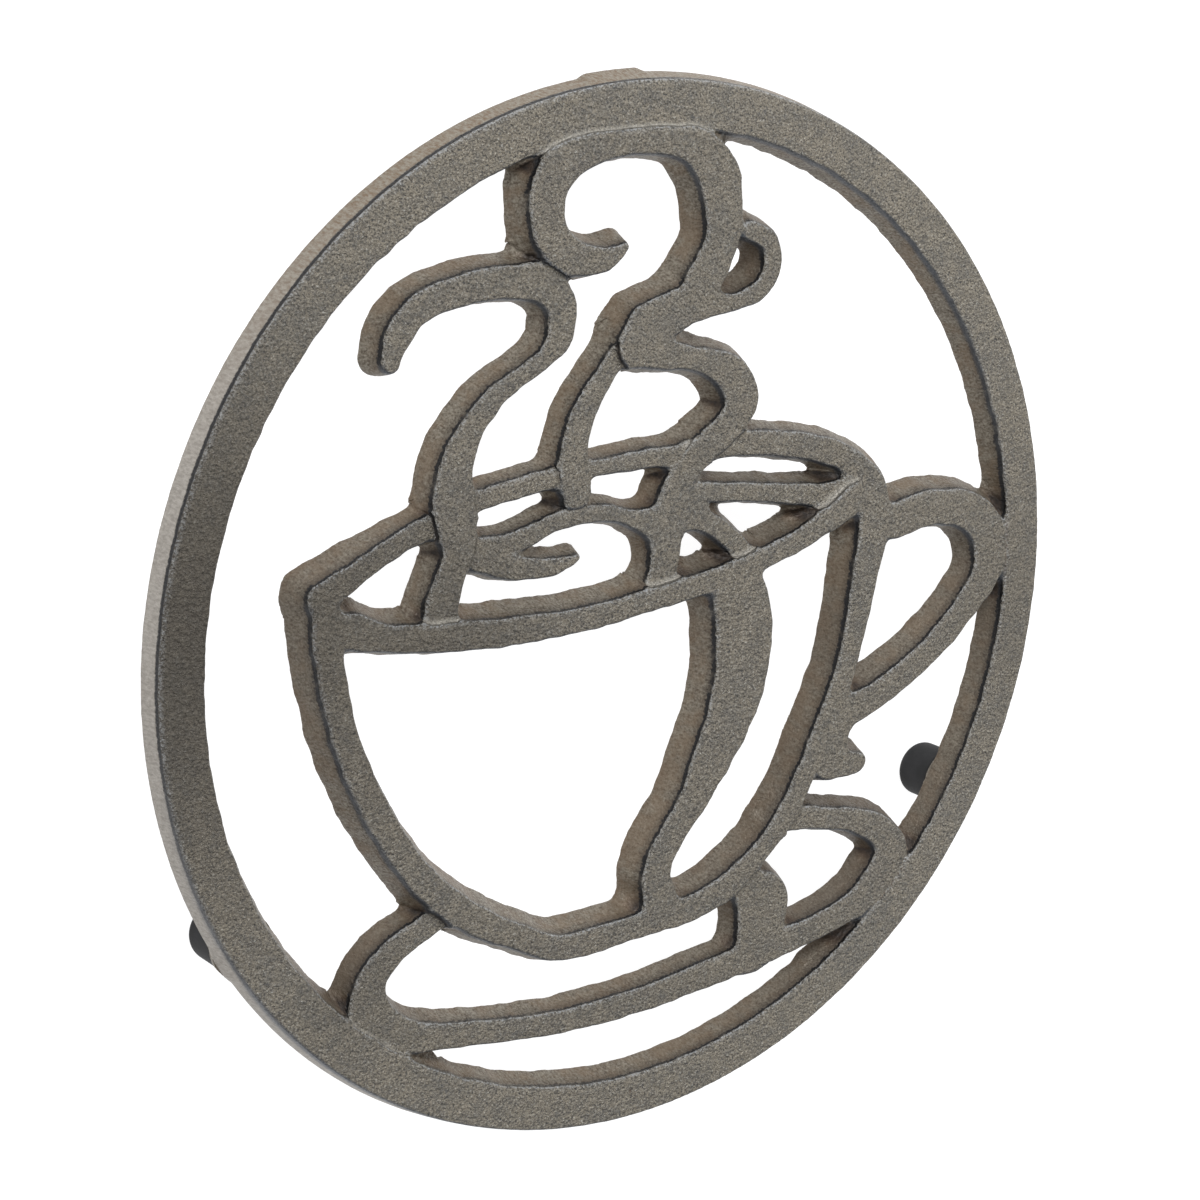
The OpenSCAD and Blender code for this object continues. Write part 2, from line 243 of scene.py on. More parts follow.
SURFACE_HOOK = Line((
    (-370, 113, 143), (-310, 98, 131), (-260, 94, 114), (-210, 98, 91), (-175, 108, 63),
    (-158, 117, 34)), 3.5)
SURFACE_DOWN = Line(((45, 240, 185), (35, 180, 220), (40, 120, 183), (36, 75, 195)), 3.5)
SURFACE_SLANT = Line((
    (70, 210, 220), (120, 190, 128), (165, 170, 114), (205, 143, 120), (230, 115, 143)), 3.5)
SURFACE_FAR = Line((
    (60, 240, 120), (150, 244, 103), (240, 246, 103), (330, 245, 114), (410, 246, 131),
    (470, 260, 143)), 3.5)
BACK_RIM = Line((
    (-695, 45, 120), (-655, 70, 111), (-600, 105, 96), (-550, 132, 96), (-500, 158, 100),
    (-440, 187, 98), (-390, 214, 87), (-330, 233, 84), (-270, 250, 84), (-210, 264, 80),
    (-150, 279, 70), (-90, 291, 72), (-30, 303, 80), (30, 310, 90), (90, 323, 106),
    (160, 336, 106), (240, 340, 106), (320, 338, 111), (390, 331, 111), (450, 310, 116),
    (500, 275, 122), (523, 225, 133)), 4.5)

# In this order, the first member whose line covers a place owns it.
MEMBERS = (
    Member("rim_with_pegs", Level.RIM, ()),
    Member("cup_wall", Level.CUP, (CUP_WALL,)),
    Member("cup_front_rim", Level.CUP, (FRONT_RIM,)),
    Member("cup_highlight", Level.CUP, (HIGHLIGHT,)),
    Member("cup_handle", Level.CUP, (HANDLE, CURL)),
    Member("middle_steam", Level.MIDDLE, (LOOP, MIDDLE_STEAM)),
    Member("middle_steam", Level.LOWER, (LOWER_STEAM,)),
    Member("top_swirl", Level.SWIRL, (SWIRL,)),
    Member("left_steam", Level.LEFT, (LEFT_STEAM,)),
    Member("saucer", Level.SAUCER, (SAUCER, STEM)),
    Member("drink_surface", Level.FAR,
           (SURFACE_LINE, SURFACE_HOOK, SURFACE_DOWN, SURFACE_SLANT, SURFACE_FAR)),
    Member("cup_back_rim", Level.FAR, (BACK_RIM,)),
)

# Columns of the rows that the casting's mesh carries, after x and y and one for each member.
CLOSED = 2 + len(MEMBERS)
LEAN, UP, LEFT, NOOK, WAVE, BOSS = range(CLOSED + 1, CLOSED + 7)

# What the finish reads on the casting's underside, where it is not zero.
UNDER = {"out": 3.0, "deep": 1.0}


def make_object(name: str, verts: np.ndarray, faces: np.ndarray,
                sharp_deg: float) -> bpy.types.Object:
    """Make an object from whole arrays of points and faces.

    Args:
        name: name of the object and its mesh.
        verts: points in mm, one a row.
        faces: point numbers, three or four a row.
        sharp_deg: edges that turn more than this stay sharp.

    Returns:
        The object, in the scene, at the origin.
    """
    mesh = bpy.data.meshes.new(name)
    sides = faces.shape[1]
    mesh.vertices.add(len(verts))
    mesh.vertices.foreach_set("co", (verts * MM).astype(np.float32).ravel())
    mesh.loops.add(faces.size)
    mesh.loops.foreach_set("vertex_index", faces.astype(np.int32).ravel())
    mesh.polygons.add(len(faces))
    mesh.polygons.foreach_set("loop_start", np.arange(0, faces.size, sides, dtype=np.int32))
    mesh.update(calc_edges=True)
    mesh.validate()
    mesh.shade_smooth()
    mesh.set_sharp_from_angle(angle=math.radians(sharp_deg))
    obj = bpy.data.objects.new(name, mesh)
    bpy.context.scene.collection.objects.link(obj)
    return obj


def set_marks(obj: bpy.types.Object, marks: dict[str, np.ndarray]) -> None:
    """Store named numbers, one a point, in an object's mesh, for its finish to read."""
    for name, values in marks.items():
        layer = obj.data.attributes.new(name, "FLOAT", "POINT")
        layer.data.foreach_set("value", values.astype(np.float32))


def cut(fields: np.ndarray, tris: np.ndarray, value: np.ndarray,
        slack: float) -> tuple[np.ndarray, np.ndarray]:
    """Split triangles along the line where a value is zero.

    An edge is split where its two ends lie on opposite sides by more than the slack, at the place
    where the value, straight along the edge, is zero. A triangle with one split edge becomes two,
    and one with two becomes three.

    Args:
        fields: one row of carried numbers for each point.
        tris: point numbers, three a row.
        value: the value at each point.
        slack: a value this small counts as zero.

    Returns:
        The rows with those of the new points added, and the new triangles.
    """
    count = len(fields)
    side = np.where(value > slack, 1, np.where(value < -slack, -1, 0)).astype(np.int8)
    ts = side[tris]
    crossed = ts * np.roll(ts, -1, axis=1) < 0
    number = crossed.sum(axis=1)
    plain = tris[number == 0]
    one, two = tris[number == 1], tris[number == 2]
    first = crossed[number == 1].argmax(axis=1)
    one = one[np.arange(len(one))[:, None], (first[:, None] + np.arange(3)) % 3]
    calm = (~crossed[number == 2]).argmax(axis=1)
    two = two[np.arange(len(two))[:, None], (calm[:, None] + 2 + np.arange(3)) % 3]
    ends = np.concatenate([one[:, :2], two[:, [0, 1]], two[:, [0, 2]]]).astype(np.int64)
    ends.sort(axis=1)
    keys, inverse = np.unique(ends[:, 0] * count + ends[:, 1], return_inverse=True)
    a, b = keys // count, keys % count
    share = (value[a] / (value[a] - value[b]))[:, None]
    fresh = fields[a] + share * (fields[b] - fields[a])
    number_of = count + inverse.ravel()
    p1 = number_of[:len(one)]
    p2, q2 = number_of[len(one):len(one) + len(two)], number_of[len(one) + len(two):]
    out = np.concatenate([
        plain,
        np.stack([one[:, 0], p1, one[:, 2]], axis=1), np.stack([p1, one[:, 1], one[:, 2]], axis=1),
        np.stack([two[:, 0], p2, q2], axis=1), np.stack([p2, two[:, 1], two[:, 2]], axis=1),
        np.stack([p2, two[:, 2], q2], axis=1)])
    return np.concatenate([fields, fresh]), out


@dataclass
class Casting:
    """The iron casting, as a height field that is split into its members.

    A wall falls by wall_h over its lean. The lowest face within meet of a place fills its corner.
    A member owns places up to covers outside its faces. The plan reaches to grid_r, and triangles
    further than margin from all lines are left out. Bosses are rows of an angle and a size, spots
    of painted shade of x, y, size and how dark it is painted on faces and on walls, and pits of
    x, y and size.
    """

    plate_r: float = 100.0
    face_r: float = 98.9
    inner_r: float = 90.3
    back_z: float = 10.7
    rim_z: float = 15.5
    wall_h: float = 5.0
    meet: float = 2.6
    covers: float = 0.8
    grid_r: float = 101.5
    margin: float = 4.0
    fillet_wide: float = 3.0
    crest_fillet: float = 2.0
    crest_r: float = 0.30
    step_fillet: float = 1.5
    highest: float = 16.38
    pillow: float = 0.16
    pillow_wide: float = 0.55
    land: float = 0.12
    fine: float = 0.25
    boss_r: float = 94.75
    bosses: Rows = ((101.5, 8.4), (218.5, 6.3), (338.5, 6.3))
    boss_out: float = 0.75
    shade_spots: Rows = (
        (-95, -2, 46, 1.0, 0.6), (-50, -8, 34, 0.65, 0.0), (-52, -66, 16, 0.4, 0.9),
        (92, 5, 30, 0.3, 0.7), (62, -48, 42, 0.0, 0.9), (18, 16, 20, 0.0, 0.7),
        (52, -5, 16, 0.0, 0.7), (18, 66, 14, 0.0, 0.7))
    pits: Rows = ((81.9, 26.1, 0.8), (-96.1, 41.5, 0.5), (12.4, -92.7, 0.5))
    pit_deep: float = 0.5
    pieces: dict[str, bpy.types.Object] = field(default_factory=dict)

    def raster(self) -> tuple[np.ndarray, np.ndarray]:
        """Work out the plan: distances to each member and to all, and the lean of the walls.

        Returns:
            The raster's places, and its layers: one for each member, one with filled corners, how
            far a wall leans out from its crest to the back, how far downhill is up and left in
            plan, on a softened first draft, how far a place lies in a corner, the waves of the
            faces and the bosses over the feet. A corner's fill is that of a smooth minimum of the
            two nearest lines: max(k - (b - a), 0) squared / 4k, where the fillet's width k is less
            at the crest than at the back.
        """
        n = int(self.grid_r / self.fine)
        xs = np.arange(-n, n + 1) * self.fine
        x, y = np.meshgrid(xs, xs)
        wobble = 0.07 * ripple(x, y, 6.0, 11) + 0.015 * ripple(x, y, 1.6, 12)
        layers, two = [], np.full((2, *x.shape), BEYOND)
        for member in MEMBERS:
            lines = ([line.distance(xs, self.plate_r) for line in member.lines]
                     or [self.inner_r - np.hypot(x, y)])
            layers.append(np.min(lines, axis=0) + wobble)
            two = np.sort(np.stack([*two, *lines]), axis=0)[:2]
        apart, outside = two[1] - two[0], ramp(two[0], -0.3, 0.1)
        fill = outside * np.maximum(self.crest_fillet - apart, 0) ** 2 / (4 * self.crest_fillet)
        layers = [layer - fill for layer in layers]
        union = np.min(layers, axis=0)
        wave = 0.035 * ripple(x, y, 9.0, 21) + 0.018 * ripple(x, y, 2.6, 22)
        boss = np.zeros_like(x)
        for turn, size in self.bosses:
            cx, cy = place_at(self.boss_r, turn)
            boss = np.maximum(boss, ramp(-np.hypot(x - cx, y - cy), -size - 0.5, -size + 0.6))
        full = self.soften((union < 0).astype(float), 2.6)
        nook = ramp(full + 0.10 * np.clip(union, 0, 2), 0.50, 0.69)
        flat = np.zeros_like(x)
        draft = [x, y, *layers, union, flat + 1.6, flat, flat, nook, wave, boss]
        rows = np.stack(draft, axis=-1).reshape(x.size, -1)
        height = self.join(*self.surfaces(rows), self.heights(rows)).reshape(x.shape)
        gy, gx = np.gradient(self.soften(np.maximum(height, self.back_z), 0.35), self.fine)
        size = np.maximum(np.hypot(gx, gy), 1e-6)
        up, left = -gy / size, gx / size
        rough = 0.01 * ripple(x, y, 1.6, 13) + 0.035 * ripple(x, y, 4.0, 14)
        lean = self.soften(1.50 + 0.75 * np.maximum(left, 0) + 0.25 * up, 0.45) + rough
        more = np.maximum(self.fillet_wide - apart, 0) ** 2 / (4 * self.fillet_wide) - fill
        closed = union - np.maximum(more, 0) * ramp(union, 0.1 * lean, lean + 0.1)
        return xs, np.stack([*layers, closed, lean, up, left, nook, wave, boss], axis=-1)

    def soften(self, values: np.ndarray, spread: float) -> np.ndarray:
        """Blur a raster with a bell curve, by multiplying its Fourier transform.

        Args:
            values: the raster.
            spread: radius of the bell in mm.

        Returns:
            The blurred raster.
        """
        freq = np.fft.fftfreq(len(values), self.fine)
        bell = np.exp(-2 * (math.pi * spread) ** 2 * (freq[:, None] ** 2 + freq[None, :] ** 2))
        return np.fft.ifft2(np.fft.fft2(values) * bell).real

    def heights(self, fields: np.ndarray) -> np.ndarray:
        """Height of each level's face, before its walls.

        Args:
            fields: carried rows.

        Returns:
            One column for each level, in mm over the floor.
        """
        x, y, wave = fields[:, 0], fields[:, 1], fields[:, WAVE]
        rise = np.zeros((len(x), len(Level)))
        rise[:, Level.CUP.value] = 0.76 - 0.84 * ramp(x, 60, 86)
        rise[:, Level.SWIRL.value] = 0.60 - 0.15 * ramp(y, 70, 58)
        rise[:, Level.MIDDLE.value] = 0.45 - 1.0 * ramp(-y, -42, -24)
        rise[:, Level.LOWER.value] = -0.45 - 0.1 * ramp(-y, -40, -24)
        rise[:, Level.LEFT.value] = -0.15
        rise[:, Level.SAUCER.value] = -0.45 + 0.40 * ramp(x, 30, 60)
        rise[:, Level.FAR.value] = (-1.15 + 0.55 * ramp(x, -40, 5) + 1.35 * ramp(x, 42, 50)
                                    + 1.95 * ramp(-x, 50, 66))
        for at_x, at_y, size in self.pits:
            rise -= self.pit_deep * ramp(-np.hypot(x - at_x, y - at_y), -size, 0.0)[:, None]
        return self.rim_z + rise + wave[:, None]

    def drop(self, d: np.ndarray, slope: np.ndarray) -> np.ndarray:
        """How far the surface lies below its face, at a distance from the face's edge.

        It is a parabola over the crest and a straight wall outside. The face itself droops
        towards its edge like a pillow: by an exponential of the distance.
        """
        e = self.crest_r
        droop = self.pillow * np.exp(np.minimum(d, 0) / self.pillow_wide)
        return droop + slope * np.where(d < -e, 0, np.where(d < e, (d + e) ** 2 / (4 * e), d))

    @staticmethod
    def distances(fields: np.ndarray) -> np.ndarray:
        """Distances to each level's lines, with the filled distance as the last column."""
        d = fields[:, 2:CLOSED + 1]
        groups = [[i for i, m in enumerate(MEMBERS) if m.level is level] for level in Level]
        return np.stack([*(d[:, group].min(axis=1) for group in groups), d[:, -1]], axis=1)

    def surfaces(self, fields: np.ndarray) -> tuple[np.ndarray, np.ndarray]:
        """Heights of each level's surface, of the filled corners and of the rim's outer wall.

        Args:
            fields: carried rows.

        Returns:
            One column for each level and one for the filled corners, then the outer wall's
            height, which is far above the rest inside the rim.
        """
        lean, boss = fields[:, LEAN], fields[:, BOSS]
        face, dist = self.heights(fields), self.distances(fields)
        slope = self.wall_h / lean
        tops = [face[:, i] - self.drop(dist[:, i], slope) for i in range(len(Level))]
        near = np.where(dist[:, :-1] < self.meet, face, np.inf).min(axis=1)
        near = np.where(np.isinf(near), self.back_z, near)
        tops.append(near - self.drop(dist[:, -1], slope))
        radius = np.hypot(fields[:, 0], fields[:, 1])
        lean_out = self.plate_r - self.face_r - 0.05 + self.boss_out * boss
        outer = face[:, 0] - self.drop(radius - self.face_r, (self.rim_z - self.back_z) / lean_out)
        return np.stack(tops, axis=1), outer + 4 * ramp(self.face_r - radius, 2.0, 6.0)

    def join(self, tops: np.ndarray, outer: np.ndarray, face: np.ndarray) -> np.ndarray:
        """Highest surface at each point, with a fillet where one level steps down to another.

        Two surfaces a and b join as max(a, b) + max(k - |a - b|, 0) squared / 4k, where k grows
        with the step between their faces.

        Args:
            tops: heights of the levels' surfaces, then of the filled corners.
            outer: height of the rim's outer wall.
            face: heights of the levels' faces.

        Returns:
            The joined heights.
        """
        top, level = tops[:, 0], face[:, 0]
        for i in range(1, len(Level)):
            k = 0.1 + self.step_fillet * ramp(np.abs(level - face[:, i]), 0.15, 0.7)
            gap = top - tops[:, i]
            level = np.where(gap > 0, level, face[:, i])
            top = np.maximum(top, tops[:, i]) + np.maximum(k - np.abs(gap), 0) ** 2 / (4 * k)
        return np.minimum(np.minimum(np.maximum(top, tops[:, -1]), outer), self.highest)

    def mesh(self) -> tuple[np.ndarray, np.ndarray]:
        """Triangulate the plan so that edges run along crests, steps and the back's outline.

        Returns:
            The carried rows of the points, and the triangles.
        """
        xs, layers = self.raster()
        layers, xs = layers[::2, ::2], xs[::2]
        n = len(xs)
        x, y = np.meshgrid(xs, xs)
        fields = np.concatenate([np.stack([x, y], axis=-1), layers], axis=-1).reshape(n * n, -1)
        i = np.arange(n * n).reshape(n, n)
        a, b, c, d = i[:-1, :-1].ravel(), i[:-1, 1:].ravel(), i[1:, 1:].ravel(), i[1:, :-1].ravel()
        odd = (np.add.outer(np.arange(n - 1), np.arange(n - 1)).ravel() % 2).astype(bool)
        tris = np.concatenate([np.stack([a, b, np.where(odd, d, c)], axis=1),
                               np.stack([c, d, np.where(odd, b, a)], axis=1)])
        radius = np.hypot(fields[:, 0], fields[:, 1])
        near = (fields[:, CLOSED] < self.margin) & (radius < self.grid_r - 0.1)
        tris = tris[near[tris].all(axis=1)]
        e = self.crest_r
        for k in range(len(Level) + 1):
            for level in (-e, -0.3 * e, 0.4 * e, e):
                fields, tris = cut(fields, tris, self.distances(fields)[:, k] - level, 0.045)
        for level in (-e, 0.0, e):
            ring = np.hypot(fields[:, 0], fields[:, 1]) - self.face_r
            fields, tris = cut(fields, tris, ring - level, 0.045)
        for k in range(len(Level)):
            tops = self.surfaces(fields)[0]
            rest = np.delete(tops, k, axis=1).max(axis=1)
            fields, tris = cut(fields, tris, tops[:, k] - rest, 0.06)
        tops, outer = self.surfaces(fields)
        value = np.minimum(tops.max(axis=1), outer) - self.back_z - self.land
        fields, tris = cut(fields, tris, value, 0.08)
        tops, outer = self.surfaces(fields)
        inside = np.minimum(tops.max(axis=1), outer) - self.back_z - self.land > -0.085
        tris = tris[inside[tris].all(axis=1)]
        used, inverse = np.unique(tris, return_inverse=True)
        return fields[used], inverse.reshape(-1, 3)

    def owners(self, fields: np.ndarray, tris: np.ndarray) -> np.ndarray:
        """Number of the member that owns each triangle.

        The first member whose line covers the middle of the triangle, its wall's upper half
        with it, owns it, and further down a wall it is the nearest one.
        """
        d = fields[:, 2:CLOSED][tris].mean(axis=1)
        covered = d < self.covers
        return np.where(covered.any(axis=1), covered.argmax(axis=1), d.argmin(axis=1))

    def marks(self, fields: np.ndarray, top: np.ndarray) -> dict[str, np.ndarray]:
        """What the iron's finish reads at each point.

        Args:
            fields: carried rows.
            top: final heights.

        Returns:
            out is the distance from a face's edge, negative on the face. deep grows down a wall,
            crease peaks where a wall meets a lower face, ledge where such a wall faces up, nook
            grows in corners, dull marks patches of painted shade, pit marks small pits and the seam
            where lines run into the rim at the right, outer is 1 on the rim's outside, and up and
            left tell which way a wall faces.
        """
        tops, dist, face = self.surfaces(fields)[0], self.distances(fields), self.heights(fields)
        rows = np.arange(len(top))
        order = tops[:, :-1].argsort(axis=1)
        best, second = order[:, -1], order[:, -2]
        ring = np.hypot(fields[:, 0], fields[:, 1]) - self.face_r
        outer = ramp(ring, -1.5, -1.0)
        deep = np.clip((face[rows, best] - top) / self.wall_h, 0, 1)
        gap = tops[rows, best] - tops[rows, second]
        step = ramp(np.abs(face[rows, best] - face[rows, second]), 0.25, 0.6)
        out = np.minimum(dist[rows, best], dist[:, -1] + 4 * step)
        one_walled = np.maximum(dist[rows, best], dist[rows, second]) > 0.05
        one_flat = np.minimum(dist[rows, best], dist[rows, second]) < 0.0
        crease = np.exp(-(gap / 0.35) ** 2) * step * one_walled * one_flat
        ledge = np.exp(-(gap / 1.1) ** 2) * step * one_walled * one_flat
        ledge = ledge * ramp(fields[:, UP], 0.2, 0.8)
        x, y = fields[:, 0], fields[:, 1]
        # Patches of painted shade: a little over the faces inside the rim, more in spots, and on
        # the rim's outer wall towards the top.
        dull = np.where(ring < -9, 0.18, 0.0) * (out < 0.1)
        for at_x, at_y, size, on_face, on_wall in self.shade_spots:
            near = np.exp(-((x - at_x) ** 2 + (y - at_y) ** 2) / size ** 2)
            dull = np.maximum(dull, near * np.where(out < 0.1, on_face, on_wall))
        dull = np.where(ring > 0, ramp(y, 25, 80), dull)
        seam = np.exp(-((ring - self.inner_r + self.face_r) / 0.5) ** 2)
        seam = seam * ramp(x, 40, 50) * (out < -0.3)
        pit = 0.75 * seam
        for at_x, at_y, size in self.pits:
            pit = np.maximum(pit, ramp(-np.hypot(x - at_x, y - at_y), -size, -0.5 * size))
        return {"out": np.maximum(out, ring), "deep": deep, "crease": crease, "outer": outer,
                "ledge": ledge, "dull": dull, "pit": pit, "nook": fields[:, NOOK] * (ring < -2),
                "up": fields[:, UP], "left": fields[:, LEFT]}

    def build(self) -> None:
        """Make one closed piece for each member."""
        fields, tris = self.mesh()
        tops, outer = self.surfaces(fields)
        top = np.maximum(self.join(tops, outer, self.heights(fields)), self.back_z + self.land)
        owner = self.owners(fields, tris)
        marks = self.marks(fields, top)
        x, y = fields[:, 0], fields[:, 1]
        under = self.back_z - 0.04 * np.abs(ripple(x, y, 2.2, 41))
        names = [m.node for m in MEMBERS]
        for name in dict.fromkeys(names):
            mine = tris[np.isin(owner, [i for i, n in enumerate(names) if n == name])]
            used, inverse = np.unique(mine, return_inverse=True)
            mine = inverse.reshape(-1, 3)
            n = len(used)
            edges = np.concatenate([mine[:, [0, 1]], mine[:, [1, 2]], mine[:, [2, 0]]])
            keys = edges.min(axis=1).astype(np.int64) * n + edges.max(axis=1)
            _, place, count = np.unique(keys, return_index=True, return_counts=True)
            rim = edges[place[count == 1]]
            a, b = rim.T
            sides = np.concatenate([np.stack([b + n, b, a], axis=1),
                                    np.stack([a + n, b + n, a], axis=1)])
            faces = np.concatenate([mine, mine[:, ::-1] + n, sides])
            verts = np.concatenate([np.stack([x[used], y[used], top[used]], axis=1),
                                    np.stack([x[used], y[used], under[used]], axis=1)])
            obj = make_object(name.replace("rim_with_pegs", "rim") + "_cast", verts, faces, 42)
            set_marks(obj, {mark: np.concatenate([values[used], np.full(n, UNDER.get(mark, 0.0))])
                            for mark, values in marks.items()})
            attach(obj, "casting")
            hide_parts(name)
            self.pieces[name] = obj

    def dress(self, iron: bpy.types.Material) -> None:
        """Give each member the iron finish."""
        for obj in self.pieces.values():
            obj.data.materials.append(iron)


def revolve(profile: np.ndarray, centre: tuple[float, float], sides: int, rough: float,
            seed: int) -> tuple[np.ndarray, np.ndarray]:
    """Turn a profile round an upright line: each point goes round in a circle.

    Args:
        profile: rows of radius and height, from the lower pole to the upper one.
        centre: place of the line.
        sides: points round a circle.
        rough: how far the radius wanders.
        seed: seed of the wander.

    Returns:
        Points and triangles, with a fan of narrow ones round each pole.
    """
    turn = 2 * math.pi * np.arange(sides) / sides
    r, z = profile[1:-1, :1], profile[1:-1, 1:]
    round_at, up_at = np.broadcast_arrays(turn * 6, z)
    wander = rough * ripple(round_at, up_at, 4.0, seed)
    x = centre[0] + (r + wander) * np.cos(turn)
    y = centre[1] + (r + wander) * np.sin(turn)
    ring = np.stack([x, y, up_at], axis=-1).reshape(-1, 3)
    poles = np.array([[*centre, profile[0, 1]], [*centre, profile[-1, 1]]])
    rows = len(profile) - 2
    i = np.arange(rows * sides).reshape(rows, sides)
    j = np.roll(i, -1, axis=1)
    body = np.stack([i[:-1], j[:-1], j[1:], i[1:]], axis=-1).reshape(-1, 4)
    tris = np.concatenate([body[:, [0, 1, 2]], body[:, [0, 2, 3]],
                           np.stack([j[0], i[0], np.full(sides, rows * sides)], axis=1),
                           np.stack([i[-1], j[-1], np.full(sides, rows * sides + 1)], axis=1)])
    return np.concatenate([ring, poles]), tris


def arc(cx: float, cz: float, r: float, start: float, stop: float, steps: int) -> np.ndarray:
    """Points of a round in a profile, from one angle to another in degrees."""
    t = np.radians(np.linspace(start, stop, steps))
    return np.stack([cx + r * np.cos(t), cz + r * np.sin(t)], axis=1)


@dataclass
class Foot:
    """A cast collar and peg under the rim, with its push-on rubber cap."""

    name: str
    node: str
    body: str
    deg: float
    foot_r: float
    cap_h: float = 9.2
    cap_r: float = 5.5
    cap_round: float = 1.9
    lip: float = 0.4
    bore_r: float = 3.05
    bore_depth: float = 7.5
    peg_r: float = 3.0
    peg_low: float = 2.2
    collar_r: float = 6.0
    back_z: float = 10.7
    pieces: dict[str, bpy.types.Object] = field(default_factory=dict)

    def centre(self) -> tuple[float, float]:
        """Place of the foot in plan."""
        return place_at(self.foot_r, self.deg)

    def cap(self) -> None:
        """Rubber cap: a closed shell of revolution with a bore."""
        z = np.linspace(self.cap_round, self.cap_h - self.lip, 12)[1:-1]
        side = np.stack([np.full_like(z, self.cap_r), z], axis=1)
        inner = np.linspace(self.cap_h - 0.25, self.cap_h - self.bore_depth + 0.3, 8)
        profile = np.concatenate([
            [[0, 0], [1.2, 0], [2.4, 0]],
            arc(self.cap_r - self.cap_round, self.cap_round, self.cap_round, -90, 0, 14), side,
            arc(self.cap_r - self.lip, self.cap_h - self.lip, self.lip, 0, 90, 8),
            arc(self.bore_r + 0.25, self.cap_h - 0.25, 0.25, 90, 180, 5),
            np.stack([np.full(8, self.bore_r), inner], axis=1)[1:],
            [[self.bore_r - 0.3, self.cap_h - self.bore_depth], [0, self.cap_h - self.bore_depth]]])
        verts, faces = revolve(profile, self.centre(), 96, 0.0, 51)
        obj = make_object(f"{self.name}_cap", verts, faces, 40)
        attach(obj, self.body)
        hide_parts(self.node)
        self.pieces["cap"] = obj

    def peg(self) -> None:
        """Cast collar and peg: a closed profile of revolution with a rough as-cast wall."""
        top, z = self.back_z + 0.3, np.linspace(self.peg_low + 1, self.cap_h - 0.2, 8)
        profile = np.concatenate([
            [[0, self.peg_low], [1.5, self.peg_low]],
            arc(self.peg_r - 0.5, self.peg_low + 0.5, 0.5, -90, 0, 6),
            np.stack([np.full_like(z, self.peg_r), z], axis=1),
            [[self.peg_r + 0.1, self.cap_h + 0.02], [self.collar_r - 0.7, self.cap_h + 0.05]],
            arc(self.collar_r - 0.6, self.cap_h + 0.45, 0.4, -90, 0, 5),
            [[self.collar_r - 0.1, self.back_z - 0.3], [self.collar_r, self.back_z],
             [self.collar_r, top], [0, top]]])
        verts, faces = revolve(profile, self.centre(), 72, 0.03, 52)
        obj = make_object(f"{self.name}_peg", verts, faces, 40)
        set_marks(obj, {"out": np.full(len(verts), 3.0), "deep": np.full(len(verts), 0.8)})
        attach(obj, "casting")
        self.pieces["peg"] = obj

    def dress(self, iron: bpy.types.Material, rubber: bpy.types.Material) -> None:
        """Give the peg the iron finish and the cap the rubber one."""
        self.pieces["peg"].data.materials.append(iron)
        self.pieces["cap"].data.materials.append(rubber)


class Pick(Enum):
    """Numbers of the sockets of a Mix node in colour mode."""

    FACTOR = 0
    A = 6
    B = 7
    RESULT = 2


